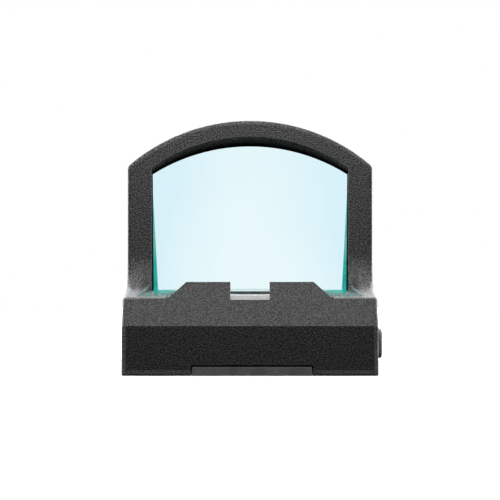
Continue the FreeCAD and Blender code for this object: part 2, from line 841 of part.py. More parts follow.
def windage_screw():
    """Captive cross-adjusting screw with a slotted head, a clip groove and a threaded end."""
    axis = ("0", "windage_y", "windage_z")
    groove_end = "windage_clip_x + clip_thickness"
    body = turned(
        "windage_screw",
        "X",
        *axis,
        ("windage_head_out", "windage_head_in", "windage_head"),
        ("windage_head_in", "windage_clip_x", "windage_thread - screw_fit"),
        ("windage_clip_x", groove_end, "windage_groove"),
        (groove_end, "windage_tip", "windage_thread"),
    )
    slot = block(
        "windage_slot",
        "windage_head_out",
        "windage_head_out + screw_slot_depth",
        "windage_y - screw_slot / 2",
        "windage_y + screw_slot / 2",
        "windage_z - windage_head",
        "windage_z + windage_head",
    )
    finished("windage_screw", cut_away("windage_screw", body, slot))
    ring = ("windage_clip_x", groove_end)
    outer = turned("windage_clip_outer", "X", *axis, (*ring, "clip_outer"))
    inner = turned("windage_clip_inner", "X", *axis, (*ring, "windage_groove"))
    finished("windage_screw_clip", cut_away("windage_clip", outer, inner))
    seal = doc.addObject("Part::Torus", "windage_seal_ring")
    seal.Placement = FreeCAD.Placement(FreeCAD.Vector(), FreeCAD.Rotation(FreeCAD.Vector(0, 1, 0), 90))
    seal.setExpression("Radius1", bound("windage_thread + seal_wire - seal_squeeze"))
    seal.setExpression("Radius2", bound("seal_wire"))
    seal.setExpression("Placement.Base.x", bound("(windage_head_in + windage_step) / 2"))
    seal.setExpression("Placement.Base.y", bound("windage_y"))
    seal.setExpression("Placement.Base.z", bound("windage_z"))
    finished("windage_screw_seal", seal)


def elevation_screw():
    """Captive height-adjusting screw that turns in the floor of the cross slide."""
    axis = ("0", "elevation_y", "0")
    clip_bottom = "slide_floor + thread_fit"
    clip_top = f"{clip_bottom} + clip_thickness / 2"
    body = turned(
        "elevation_screw",
        "Z",
        *axis,
        ("elevation_foot_bottom", "elevation_foot_top", "elevation_foot"),
        ("elevation_foot_top", clip_top, "elevation_journal"),
        (clip_top, "elevation_top", "elevation_thread"),
    )
    slot = block(
        "elevation_slot",
        "-elevation_thread",
        "elevation_thread",
        "elevation_y - screw_slot / 2",
        "elevation_y + screw_slot / 2",
        "elevation_top - screw_slot_depth",
        "elevation_top",
    )
    finished("elevation_screw", cut_away("elevation_screw", body, slot))
    ring = (clip_bottom, clip_top)
    outer = turned("elevation_clip_outer", "Z", *axis, (*ring, "elevation_clip_outer"))
    inner = turned("elevation_clip_inner", "Z", *axis, (*ring, "elevation_journal"))
    finished("elevation_screw_clip", cut_away("elevation_clip", outer, inner))


def coil(name, axis, start, end):
    """A compression spring between two stations on X or Z, clear of both by spring_end."""
    wire = value("spring_wire / 2")
    low, high = value(f"{start} + spring_end") + wire, value(f"{end} - spring_end") - wire
    radius = value(f"{name}_mean")
    helix = Part.makeLongHelix((high - low) / value(f"{name}_turns"), high - low, radius)
    section = Part.Wire(Part.makeCircle(wire, FreeCAD.Vector(radius, 0, 0), FreeCAD.Vector(0, 1, 0)))
    spring = doc.addObject("Part::Feature", name)
    spring.Shape = Part.Wire(helix).makePipeShell([section], True, True)
    if axis == "X":
        turn = FreeCAD.Rotation(FreeCAD.Vector(0, 1, 0), 90)
        place = FreeCAD.Vector(low, value("windage_y"), value("windage_z"))
    else:
        turn = FreeCAD.Rotation()
        place = FreeCAD.Vector(0, value("elevation_y"), low)
    spring.Placement = FreeCAD.Placement(place, turn)
    return finished(name, spring)


def springs():
    coil("windage_spring", "X", "slide_right", "spring_pocket_end")
    coil("elevation_spring", "Z", "slide_floor", "block_bottom")


def chip(kind, number=0):
    """A moulded component that stands on the board; those of one kind lie in a row along X."""
    x = f"({kind}_x + {number} * {kind}_pitch)" if number else f"{kind}_x"
    return block(
        f"{kind}_{number}",
        f"{x} - {kind}_length / 2",
        f"{x} + {kind}_length / 2",
        f"{kind}_y - {kind}_width / 2",
        f"{kind}_y + {kind}_width / 2",
        "board_top",
        f"board_top + {kind}_height",
    )


def electronics():
    board = new_body("circuit_board")
    outline = rectangle("-board_half", "board_half", "board_rear", "board_front")
    holes = pair("board_screw_x", "board_screw_y", "board_screw_shank + screw_fit")
    prism(board, "board_plate", "Z", "board_bottom", "board_top", outline, *holes)
    screws = []
    for side in (1, -1):
        place = (f"{side} * board_screw_x", "board_screw_y", "0")
        screws.append(
            turned(
                f"board_screw_{side + 1}",
                "Z",
                *place,
                ("board_screw_head_bottom", "board_bottom", "board_screw_head"),
                ("board_bottom", "board_screw_top", "board_screw_shank"),
            )
        )
    group("board_screws", screws)
    for kind in ("microcontroller", "motion_sensor", "voltage_regulator"):
        finished(kind, chip(kind))
    for kind in ("capacitor", "resistor"):
        group(kind + "s", [chip(kind, number) for number in range(SIZES[kind + "_count"])])


def flex_connector():
    """The socket on the board that the flexible circuit hangs into."""
    connector = new_body("flex_connector")
    middle = "(slide_front + 2.5 * flex_thickness)"
    rear, front = f"{middle} - connector_depth", f"{middle} + connector_depth"
    prism(
        connector,
        "connector_block",
        "Z",
        "board_top",
        "board_top + connector_height",
        rectangle("-connector_half", "connector_half", rear, front),
    )
    rear, front = f"{middle} - connector_mouth", f"{middle} + connector_mouth"
    prism(
        connector,
        "connector_mouth_cut",
        "Z",
        "board_top + connector_floor",
        "board_top + connector_height",
        rectangle("-flex_slot_half", "flex_slot_half", rear, front),
        cut=True,
    )


def tactile_switch():
    """Side-acting switch on the board and the plunger that the button presses."""
    body = new_body("tactile_switch")
    plan = rectangle("switch_inner", "switch_outer", "button_y - switch_half", "button_y + switch_half")
    prism(body, "switch_case", "Z", "board_top", "switch_top", plan)
    bore = rectangle(
        "button_y - plunger_half - plunger_fit",
        "button_y + plunger_half + plunger_fit",
        "plunger_bottom - plunger_fit",
        "plunger_top + plunger_fit",
    )
    prism(body, "plunger_bore", "X", "plunger_inner - plunger_room", "switch_outer", bore, cut=True)
    plunger = block(
        "switch_plunger",
        "plunger_inner",
        "button_flange_inner - plunger_end",
        "button_y - plunger_half",
        "button_y + plunger_half",
        "plunger_bottom",
        "plunger_top",
    )
    finished("switch_plunger", plunger)


def side_button():
    """Rounded key on the right wall, its inner flange, and the soft seal it slides in."""
    body = new_body("side_button")
    flange = rounded(
        "button_y", "button_z", "button_flange_length", "button_flange_height", "button_flange_corner"
    )
    prism(body, "button_flange", "X", "button_flange_inner", "button_flange_outer", flange)
    key_pad = prism(body, "button_key", "X", "button_flange_outer", "button_face", key_outline("0"))
    face = value("button_face")
    round_edges(body, key_pad, "button_rounding", "button_rounding", lambda box: box.XMin > face - TOUCH)
    seal = new_body("button_seal")
    outer, inner = key_outline("button_seal_border"), key_outline("button_seal_fit")
    prism(seal, "seal_ring", "X", "wall_inside", "button_seal_outer", outer, inner)


def contacts():
    """Two bent strips that carry the battery's poles back to the board, and the disc that insulates them."""
    rear, thick = "contact_rear", "contact_thickness"
    bottom = "contact_bottom"

    def strip(body, left, front):
        path = [
            (rear, "board_top"),
            (f"{rear} + {thick}", "board_top"),
            (f"{rear} + {thick}", bottom),
            (front, bottom),
            (front, f"{bottom} + {thick}"),
            (rear, f"{bottom} + {thick}"),
        ]
        right = f"{left} + port_outer - port_inner - 2 * contact_margin"
        prism(body, body.Label + "_strip", "X", left, right, path)
        return right

    negative = new_body("negative_contact")
    strip(negative, "port_inner + contact_margin", "cell_y + dimple_reach")
    dimple = ("(port_inner + port_outer) / 2", "cell_y", "(port_outer - port_inner) / 2 - contact_margin")
    prism(negative, "dimple", "Z", "cell_bottom + cell_height", bottom, dimple)
    positive = new_body("positive_contact")
    left = "-port_outer + contact_margin"
    right = strip(positive, left, f"blade_y + {thick}")
    blade = rectangle("blade_y", f"blade_y + {thick}", "blade_bottom", f"{bottom} + {thick}")
    prism(positive, "blade", "X", left, right, blade)
    film = ("bay_roof - insulator_thickness", "bay_roof", "cell_radius")
    disc = turned("insulator", "Z", "0", "cell_y", "0", film)
    finished("contact_insulator", disc)


def battery():
    """The coin cell: a wide case with a narrower cap on the side that faces the contacts."""
    top = "cell_bottom + cell_height"
    cell = turned(
        "coin_cell",
        "Z",
        "0",
        "cell_y",
        "0",
        ("cell_bottom", f"{top} - cell_cap_step", "cell_radius"),
        (f"{top} - cell_cap_step", top, "cell_cap_radius"),
    )
    finished("coin_cell", cell)


def bottom_cover():
    """Cover plate with a rear tongue, a low rib that holds the cell, and two screw holes."""
    body = new_body("bottom_cover")
    prism(body, "plate", "Z", "cover_bottom", "cover_top", cover_outline("0"))
    tongue = tongue_outline("0", "cover_bottom", "cover_top")
    prism(body, "tongue", "Y", "-body_length / 2 + tongue_setback", "cover_rear + over_cut", tongue)
    rib_outer = "cell_radius - rib_inset"
    rib = [("0", "cell_y", rib_outer), ("0", "cell_y", f"{rib_outer} - rib_width")]
    prism(body, "cell_rib", "Z", "cover_top", "cell_bottom", *rib)
    holes = pair("cover_screw_x", "cover_screw_y", "cover_screw_shank + screw_fit")
    prism(body, "screw_holes", "Z", "cover_bottom", "cover_top", *holes, cut=True)
    sinks = pair("cover_screw_x", "cover_screw_y", "cover_screw_head + screw_fit")
    head_top = "cover_bottom + cover_screw_sink"
    prism(body, "screw_sinks", "Z", "cover_bottom", head_top, *sinks, cut=True)
    screws = []
    for side in (1, -1):
        place = (f"{side} * cover_screw_x", "cover_screw_y", "0")
        screws.append(
            turned(
                f"cover_screw_{side + 1}",
                "Z",
                *place,
                ("cover_bottom", head_top, "cover_screw_head"),
                (head_top, "cover_screw_top", "cover_screw_shank - screw_fit"),
            )
        )
    group("cover_screws", screws)
    gasket = new_body("battery_gasket")
    ring = [("0", "cell_y", f"gasket_radius {sign} gasket_half_width") for sign in "+-"]
    prism(gasket, "gasket_ring", "Z", "ledge", "ledge + gasket_height", *ring)


def check_document():
    """Stops on a failed feature, a pocket that cuts nothing, or a sub-part without a sound solid."""
    doc.recompute()
    for item in doc.Objects:
        if {"Invalid", "Error"} & set(item.State):
            raise RuntimeError(f"{item.Label} failed: {item.State}")
        if item.TypeId in ("PartDesign::Pocket", "PartDesign::SubtractiveLoft"):
            if item.BaseFeature.Shape.Volume - item.Shape.Volume < SMALLEST_CUT:
                raise RuntimeError(f"{item.Label} cuts nothing")
    for node in nodes:
        if node.Shape.isNull() or not node.Shape.isValid() or not node.Shape.Solids:
            raise RuntimeError(f"{node.Label} has no sound solid")


def export_nodes():
    os.makedirs("parts", exist_ok=True)
    for node in nodes:
        node.Shape.exportStep(os.path.join("parts", f"{node.Label}.step"))
        box = node.Shape.BoundBox
        spans = ((box.XMin, box.XMax), (box.YMin, box.YMax), (box.ZMin, box.ZMax))
        reach = ", ".join(f"{letter} {low:.2f} to {high:.2f}" for letter, (low, high) in zip("XYZ", spans))
        print(f"{node.Label}: {len(node.Shape.Solids)} solid(s), {node.Shape.Volume:.2f} mm3, {reach}")


housing()
lens_element("lens_rear_element", "rear_vertex", "joint_vertex")
lens_element("lens_front_element", "joint_vertex + cement", "front_vertex")
lens_bond()
windage_slide()
emitter_block()
light_source()
windage_screw()
elevation_screw()
springs()
electronics()
flex_connector()
tactile_switch()
side_button()
contacts()
battery()
bottom_cover()
check_document()
export_nodes()
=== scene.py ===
import json
import math

import bpy
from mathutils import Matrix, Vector

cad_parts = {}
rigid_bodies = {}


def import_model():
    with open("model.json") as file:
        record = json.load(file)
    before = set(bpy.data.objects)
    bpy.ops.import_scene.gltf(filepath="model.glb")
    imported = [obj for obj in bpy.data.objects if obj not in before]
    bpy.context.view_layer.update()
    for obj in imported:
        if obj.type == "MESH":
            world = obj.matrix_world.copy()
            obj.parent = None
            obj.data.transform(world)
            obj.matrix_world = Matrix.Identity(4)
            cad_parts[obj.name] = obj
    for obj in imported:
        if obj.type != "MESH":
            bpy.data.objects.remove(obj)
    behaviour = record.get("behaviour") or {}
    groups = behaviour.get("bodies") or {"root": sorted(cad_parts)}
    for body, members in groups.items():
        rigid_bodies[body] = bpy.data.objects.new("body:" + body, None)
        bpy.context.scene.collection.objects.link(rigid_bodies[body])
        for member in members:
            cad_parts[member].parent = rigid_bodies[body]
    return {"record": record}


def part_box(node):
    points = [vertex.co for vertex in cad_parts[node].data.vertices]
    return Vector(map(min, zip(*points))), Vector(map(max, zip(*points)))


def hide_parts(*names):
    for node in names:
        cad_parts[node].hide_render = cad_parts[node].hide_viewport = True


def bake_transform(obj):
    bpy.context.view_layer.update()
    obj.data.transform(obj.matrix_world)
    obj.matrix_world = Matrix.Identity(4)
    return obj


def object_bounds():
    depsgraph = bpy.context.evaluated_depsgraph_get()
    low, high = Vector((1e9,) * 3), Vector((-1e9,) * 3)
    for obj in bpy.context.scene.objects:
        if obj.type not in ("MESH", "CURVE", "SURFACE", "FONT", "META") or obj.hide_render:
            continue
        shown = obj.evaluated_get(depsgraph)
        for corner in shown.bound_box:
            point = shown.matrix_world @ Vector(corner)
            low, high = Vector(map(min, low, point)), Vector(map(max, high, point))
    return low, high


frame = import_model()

# A compact reflex sight on a pale floor, in metres, in the row's frame.

MM = 0.001
cad_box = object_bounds()


# ---------------------------------------------------------------- node helpers


class Recipe:
    """A material under construction: adds nodes, links them and ends in one shader."""

    def __init__(self, name):
        self.material = bpy.data.materials.new(name)
        self.material.use_nodes = True
        self.tree = self.material.node_tree
        self.tree.nodes.clear()
        self.output = self.tree.nodes.new("ShaderNodeOutputMaterial")
        self.coords = self.tree.nodes.new("ShaderNodeTexCoord").outputs["Object"]

    def add(self, kind, **inputs):
        node = self.tree.nodes.new(kind)
        for key, value in inputs.items():
            self.feed(node.inputs[key.replace("_", " ")], value)
        return node

    def feed(self, socket, value):
        if isinstance(value, bpy.types.NodeSocket):
            self.tree.links.new(value, socket)
        else:
            socket.default_value = value

    def place(self):
        """The shaded point's distance to the side of the middle, its Y and its Z."""
        point = self.add("ShaderNodeSeparateXYZ", Vector=self.coords).outputs
        return self.math("ABSOLUTE", point["X"]), point["Y"], point["Z"]

    def geometry(self):
        return self.tree.nodes.new("ShaderNodeNewGeometry").outputs

    def upward(self):
        """1 where the surface faces straight up, -1 where it faces straight down."""
        return self.add("ShaderNodeSeparateXYZ", Vector=self.geometry()["Normal"]).outputs["Z"]

    def noise(self, size_mm, detail=2.0, roughness=0.5, stretch=(1, 1, 1)):
        """Noise whose features are about size_mm across, optionally stretched along the axes."""
        scaled = self.add("ShaderNodeMapping", Vector=self.coords, Scale=stretch)
        node = self.add(
            "ShaderNodeTexNoise",
            Vector=scaled.outputs["Vector"],
            Scale=1 / (size_mm * MM),
            Detail=detail,
            Roughness=roughness,
        )
        return node.outputs["Fac"]

    def ramp(self, factor, stops):
        """Colours, or greys from single numbers, at places along a 0 to 1 factor."""
        node = self.add("ShaderNodeValToRGB", Fac=factor)
        elements = node.color_ramp.elements
        while len(elements) < len(stops):
            elements.new(0.5)
        for element, (place, colour) in zip(elements, stops):
            element.position = place
            if isinstance(colour, (int, float)):
                colour = (colour,) * 3
            element.color = (*colour, 1)
        return node.outputs["Color"]

    def mix(self, factor, first, second):
        node = self.tree.nodes.new("ShaderNodeMix")
        node.data_type = "RGBA"
        self.feed(node.inputs["Factor"], factor)
        colour_sockets = [socket for socket in node.inputs if socket.type == "RGBA"]
        for socket, value in zip(colour_sockets, (first, second)):
            if isinstance(value, (int, float)):
                value = (value,) * 3
            self.feed(socket, (*value, 1) if isinstance(value, tuple) else value)
        return next(socket for socket in node.outputs if socket.type == "RGBA")

    def halves(self, first, first_stops, second, second_stops):
        """Two patterns, each with its own ramp, mixed half and half."""
        return self.mix(0.5, self.ramp(first, first_stops), self.ramp(second, second_stops))

    def math(self, operation, first, second=0.5):
        node = self.tree.nodes.new("ShaderNodeMath")
        node.operation = operation
        self.feed(node.inputs[0], first)
        self.feed(node.inputs[1], second)
        return node.outputs[0]

    def product(self, first, *others):
        for factor in others:
            first = self.math("MULTIPLY", first, factor)
        return first

    def rest_of(self, share):
        return self.math("SUBTRACT", 1.0, share)

    def vector(self, operation, first, second=None):
        """A vector sum; a dot product comes out as a number."""
        node = self.tree.nodes.new("ShaderNodeVectorMath")
        node.operation = operation
        self.feed(node.inputs[0], first)
        if second is not None:
            self.feed(node.inputs[1], second)
        return node.outputs["Value" if operation == "DOT_PRODUCT" else "Vector"]

    def span(self, value, start, end):
        """0 where the value is at start or before it, 1 at end or past it, smooth between."""
        node = self.add("ShaderNodeMapRange", Value=value, From_Min=start, From_Max=end)
        node.interpolation_type = "SMOOTHSTEP"
        return node.outputs["Result"]

    def band(self, value, low, high, fade):
        """1 from low to high, and 0 further out than fade past either."""
        return self.product(self.span(value, low - fade, low), self.span(value, high + fade, high))

    def bump(self, height, depth_mm, strength):
        node = self.add("ShaderNodeBump", Height=height, Distance=depth_mm * MM, Strength=strength)
        return node.outputs["Normal"]

    def edges(self, radius_mm, sharp):
        """Up to 1 where the surface turns a sharp corner, 0 on open faces."""
        bevel = self.tree.nodes.new("ShaderNodeBevel")
        bevel.samples = 6
        bevel.inputs["Radius"].default_value = radius_mm * MM
        agreement = self.vector("DOT_PRODUCT", bevel.outputs["Normal"], self.geometry()["Normal"])
        return self.ramp(self.rest_of(agreement), [(0.02, 0.0), (sharp, 1.0)])

    def blend(self, factor, first, second):
        """Ends the material in a blend of two shaders."""
        surface = self.add("ShaderNodeMixShader", Fac=factor)
        self.feed(surface.inputs[1], first)
        self.feed(surface.inputs[2], second)
        self.feed(self.output.inputs["Surface"], surface.outputs["Shader"])
        return self.material

    def principled(self, **inputs):
        """Ends the material in one Principled shader."""
        shader = self.add("ShaderNodeBsdfPrincipled", **inputs)
        self.feed(self.output.inputs["Surface"], shader.outputs["BSDF"])
        return self.material


# ---------------------------------------------------------------- housing

LENS_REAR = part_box("lens_rear_element")[0][1]
WINDOW_SIDE = 10.2 * MM
WINDOW_MIDDLE = 14 * MM
BASE_TOP = 7.6 * MM


def coated_alloy():
    """Charcoal sprayed coating with a fine stipple, matt black in the window and worn at the edges, with
    painted light in places: the hood painted lighter, painted highlights on the flares, rim and rear corners,
    painted teal light near the lens, and painted shade deep in the window.
    """
    recipe = Recipe("coated_alloy")
    stipple = recipe.noise(0.125, detail=1)
    grains = recipe.noise(0.22, detail=1)
    clouds = recipe.noise(4.5, detail=2)
    fine = recipe.ramp(stipple, [(0.40, 0.0), (0.50, 0.016), (0.60, 0.090)])
    coarse = recipe.ramp(grains, [(0.38, 0.006), (0.62, 0.050)])
    cloudy = recipe.ramp(clouds, [(0.3, 0.020), (0.7, 0.030)])
    coating = recipe.mix(0.12, recipe.mix(0.25, fine, coarse), cloudy)

    # each: where it lies, how strongly it shows, the pattern it follows and that pattern's stops
    layers = (
        # painted light: the hood above its feet is painted lighter
        (hood_painted_light, 0.2, stipple, [(0.40, 0.01), (0.60, 0.12)]),
        # scuffs plus a painted highlight on the flares
        (flare_scuffs_and_highlight, 0.75, stipple, [(0.38, 0.012), (0.62, 0.26)]),
        (teal_spill, 0.9, stipple, [(0.38, (0.022, 0.062, 0.057)), (0.62, (0.150, 0.280, 0.262))]),
        (edge_wear, 0.35, stipple, [(0.0, 0.16), (1.0, 0.16)]),
        # painted highlights on the rear corners and painted floor light along the lower edge
        (rear_edges_painted_light, 0.75, stipple, [(0.36, 0.045), (0.64, 0.21)]),
        # painted teal light on the sides of the sill under the lens
        (sill_painted_teal_light, 1.0, grains, [(0.35, (0.22, 0.42, 0.38)), (0.65, (0.46, 0.72, 0.66))]),
        # painted highlight along the top edge of the rear rim
        (rim_painted_highlight, 0.8, stipple, [(0.36, 0.10), (0.64, 0.24)]),
    )
    for where, strength, pattern, stops in layers:
        cover = recipe.product(where(recipe), strength)
        coating = recipe.mix(cover, coating, recipe.ramp(pattern, stops))

    relief = recipe.bump(recipe.mix(0.4, stipple, grains), 0.10, 1.0)
    satin = recipe.add(
        "ShaderNodeBsdfPrincipled",
        Base_Color=coating,
        Roughness=recipe.ramp(grains, [(0.3, 0.46), (0.7, 0.68)]),
        Normal=relief,
        Specular_IOR_Level=0.25,
    )
    lining, depth = window_lining(recipe)
    outer = recipe.ramp(stipple, [(0.38, (0.010, 0.014, 0.014)), (0.62, (0.20, 0.23, 0.22))])
    # painted shade: the lining is painted darker the deeper it lies in the hood
    black = recipe.mix(depth, outer, recipe.ramp(stipple, [(0.38, 0.002), (0.62, 0.016)]))
    # painted light: downward faces near the mouth of the hood are painted lighter, standing in for the light
    # from the front
    lip_painted_light = recipe.product(recipe.span(recipe.upward(), -0.3, -0.8), recipe.rest_of(depth))
    black = recipe.mix(lip_painted_light, black, recipe.ramp(stipple, [(0.38, 0.10), (0.62, 0.62)]))
    matt = recipe.add("ShaderNodeBsdfDiffuse", Color=black, Roughness=0.9, Normal=relief)
    return recipe.blend(lining, satin.outputs["BSDF"], matt.outputs["BSDF"])


def window_lining(recipe):
    """How far a surface faces into the window from above the base, and how deep in the hood it lies, which
    sets the painted shade there.
    """
    above_start, above_full = 7.7 * MM, 8.2 * MM
    posts_end, posts_clear = LENS_REAR - 9.4 * MM, LENS_REAR - 9.0 * MM
    depth_start, depth_full = LENS_REAR - 3.3 * MM, LENS_REAR - 0.9 * MM
    point = recipe.add("ShaderNodeSeparateXYZ", Vector=recipe.coords).outputs
    outward = recipe.add("ShaderNodeCombineXYZ", X=point["X"])
    recipe.feed(outward.inputs["Z"], recipe.math("SUBTRACT", point["Z"], WINDOW_MIDDLE))
    direction = recipe.vector("NORMALIZE", outward.outputs["Vector"])
    facing = recipe.vector("DOT_PRODUCT", direction, recipe.geometry()["Normal"])
    lining = recipe.product(
        recipe.span(facing, -0.25, -0.45),
        recipe.span(recipe.upward(), 0.5, 0.25),
        recipe.span(point["Z"], above_start, above_full),
        recipe.span(point["Y"], posts_end, posts_clear),
    )
    return lining, recipe.span(point["Y"], depth_start, depth_full)


def hood_painted_light(recipe):
    """Near 1 on the hood above its feet, where the coating is painted lighter: painted light for the brighter
    light the hood catches above the base.
    """
    foot, leg = 9 * MM, 12 * MM
    _, _, z = recipe.place()
    return recipe.span(z, foot, leg)


def edge_wear(recipe):
    return recipe.edges(0.16, sharp=0.16)


def rim_painted_highlight(recipe):
    """1 along the top edge of the rear rim, on both sides of the posts, painted paler as a painted highlight
    for the glint of the light from behind.
    """
    slope_end, crest, below_rail = 7.42 * MM, 7.52 * MM, 7.8 * MM
    post_foot, rim_start, fade = 8.2 * MM, -16.6 * MM, 0.1 * MM
    side, y, z = recipe.place()
    return recipe.product(
        recipe.span(z, slope_end, crest),
        recipe.span(z, below_rail + fade, below_rail),
        recipe.span(y, rim_start, rim_start - 3 * fade),
        recipe.span(side, post_foot, post_foot + fade),
    )


def rear_edges_painted_light(recipe):
    """Up to 1 on the upright corners and lower edge of the rear face: a painted highlight on the corners and
    painted floor light along the lower edge.
    """
    corner_start, rear, fade = 12.0 * MM, -20.2 * MM, 0.1 * MM
    foot, edge_top, face_top, edge_share = 0.25 * MM, 0.50 * MM, 4.85 * MM, 0.6
    side, y, z = recipe.place()
    corner = recipe.span(side, corner_start, corner_start + 2 * fade)
    lower_edge = recipe.product(recipe.span(z, edge_top + fade, edge_top), edge_share)
    return recipe.product(
        recipe.math("MAXIMUM", corner, lower_edge),
        recipe.span(z, face_top + fade, face_top - fade),
        recipe.span(z, foot - fade, foot),
        recipe.span(y, rear + 3 * fade, rear),
    )


def teal_spill(recipe):
    """1 on the inner foot of each leg, under a slanting line, where the teal adhesive throws its light."""
    inside, top_there, slant_fade = 9.7 * MM, 9.15 * MM, 0.25 * MM
    inner_start, inner_full, outside, outside_fade = 9.0 * MM, 9.4 * MM, 11.2 * MM, 0.3 * MM
    bottom, fade = 7.5 * MM, 0.1 * MM
    rear_start, rear_full = LENS_REAR - 10.5 * MM, LENS_REAR - 9.5 * MM
    front_end, front_full = LENS_REAR + 1.6 * MM, LENS_REAR + 1.0 * MM
    side, y, z = recipe.place()
    climb = recipe.math("ADD", z, recipe.math("SUBTRACT", side, inside))
    return recipe.product(
        recipe.span(climb, top_there + slant_fade, top_there - 0.6 * slant_fade),
        recipe.span(side, inner_start, inner_full),
        recipe.span(side, outside, outside - outside_fade),
        recipe.span(z, bottom, bottom + fade),
        recipe.span(y, rear_start, rear_full),
        recipe.span(y, front_end, front_full),
    )


def sill_painted_teal_light(recipe):
    """Up to 1 on the sides of the sill under the lens, painted pale teal: painted light that the teal
    adhesive above throws on it.
    """
    tint_bottom, tint_top, fade = 7.3 * MM, 7.9 * MM, 0.1 * MM
    tint_start, tint_full = 6.8 * MM, 9.0 * MM
    sill_rear, sill_front, weaker_on_top = -3.0 * MM, -1.0 * MM, 0.7
    side, y, z = recipe.place()
    return recipe.product(
        recipe.span(side, tint_start, tint_full),
        recipe.span(side, WINDOW_SIDE + fade, WINDOW_SIDE),
        recipe.rest_of(recipe.product(recipe.span(recipe.upward(), 0.4, 0.9), weaker_on_top)),
        recipe.band(z, tint_bottom, tint_top, fade),
        recipe.band(y, sill_rear, sill_front, fade),
    )


def flare_scuffs_and_highlight(recipe):
    """Near 1 on the outer curve where each leg of the hood spreads into the base: scuffed paler there, with a
    painted highlight for the grazing light from behind.
    """
    flare_top, fade = 10.6 * MM, 0.3 * MM
    leg_middle, leg_outside = 10.6 * MM, 11.4 * MM
    side, _, z = recipe.place()
    return recipe.product(
        recipe.span(z, flare_top, BASE_TOP),
        recipe.span(z, BASE_TOP - fade, BASE_TOP),
        recipe.span(side, leg_middle, leg_outside),
    )


# ---------------------------------------------------------------- other materials


def satin_plate(name, dark, light, grain_mm, roughness):
    """A plain coated or moulded surface with fine grain, faint cloudiness and paler edges."""
    cloud_size, relief, spread = 14, 0.12, 0.08
    recipe = Recipe(name)
    grain = recipe.noise(grain_mm, detail=2)
    clouds = recipe.noise(grain_mm * cloud_size, detail=1)
    stops = [(0.3, dark), (0.7, light)]
    colour = recipe.halves(grain, stops, clouds, stops)
    worn = tuple(min(1.0, level * 2.2 + 0.02) for level in light)
    wear = recipe.product(recipe.edges(0.1, sharp=0.2), 0.25)
    return recipe.principled(
        Base_Color=recipe.mix(wear, colour, worn),
        Roughness=recipe.ramp(grain, [(0.3, roughness - spread), (0.7, roughness + spread)]),
        Normal=recipe.bump(grain, grain_mm * relief, 0.5),
    )


def machined_metal(name, colour, roughness, along="X"):
    """Metal with fine lines from the cutter, running along one axis, and faint staining."""
    line_stretch, stain_level, spread, smoothest = 0.06, 0.72, 0.1, 0.05
    recipe = Recipe(name)
    stretch = tuple(line_stretch if axis == along else 1.0 for axis in "XYZ")
    lines = recipe.noise(0.05, detail=3, stretch=stretch)
    stain = recipe.noise(0.9, detail=3)
    darker = tuple(level * stain_level for level in colour)
    low, high = max(roughness - spread, smoothest), roughness + spread
    tint = recipe.halves(lines, [(0.3, darker), (0.7, colour)], stain, [(0.35, darker), (0.65, colour)])
    return recipe.principled(
        Base_Color=tint,
        Metallic=1.0,
        Roughness=recipe.ramp(lines, [(0.3, low), (0.7, high)]),
        Normal=recipe.bump(lines, 0.004, 0.6),
    )


def soft_rubber():
    """Black rubber with settled dust."""
    recipe = Recipe("soft_rubber")
    dust = recipe.noise(0.12, detail=4, roughness=0.7)
    return recipe.principled(
        Base_Color=recipe.ramp(dust, [(0.35, 0.010), (0.75, 0.045)]),
        Roughness=recipe.ramp(dust, [(0.3, 0.72), (0.7, 0.92)]),
        Normal=recipe.bump(dust, 0.01, 0.6),
    )


def board_laminate():
    """Green solder mask over woven glass, with tracks that show as raised paler lines."""
    recipe = Recipe("board_laminate")
    weave = recipe.noise(0.25, detail=1, stretch=(1.0, 0.35, 1.0))
    bricks = recipe.add("ShaderNodeTexBrick", Vector=recipe.coords, Scale=900.0, Mortar_Size=0.035)
    tracks = bricks.outputs["Fac"]
    mask = recipe.ramp(weave, [(0.35, (0.006, 0.07, 0.035)), (0.65, (0.012, 0.12, 0.06))])
    return recipe.principled(
        Base_Color=recipe.mix(recipe.product(tracks, 0.6), mask, (0.03, 0.20, 0.10)),
        Roughness=recipe.ramp(weave, [(0.3, 0.28), (0.7, 0.42)]),
        Normal=recipe.bump(tracks, 0.03, 0.5),
    )


def lens_glass():
    """Coated glass: lets the view through with a pale cyan cast, deeper to the sides and the top."""
    side_rate, height_rate, haze_share = 85.0, 20.0, 0.3
    recipe = Recipe("lens_glass")
    side, _, z = recipe.place()
    sideways = recipe.math("POWER", recipe.product(side, side_rate), 2.0)
    corner = recipe.math("ADD", sideways, recipe.product(z, height_rate))
    haze = recipe.noise(6.0, detail=1)
    depth = recipe.math("ADD", corner, recipe.product(haze, haze_share))
    tint = recipe.ramp(depth, [(0.45, (0.950, 0.986, 0.992)), (1.0, (0.912, 0.971, 0.990))])
    through = recipe.add("ShaderNodeBsdfTransparent", Color=tint)
    smear = recipe.noise(3.0, detail=3)
    gloss = recipe.add(
        "ShaderNodeBsdfAnisotropic",
        Color=(0.75, 0.95, 1.0, 1),
        Roughness=recipe.ramp(smear, [(0.3, 0.015), (0.75, 0.05)]),
    )
    outer_side = recipe.rest_of(recipe.geometry()["Backfacing"])
    fresnel = recipe.product(recipe.add("ShaderNodeFresnel", IOR=1.15).outputs["Fac"], outer_side)
    return recipe.blend(fresnel, through.outputs["BSDF"], gloss.outputs["BSDF"])


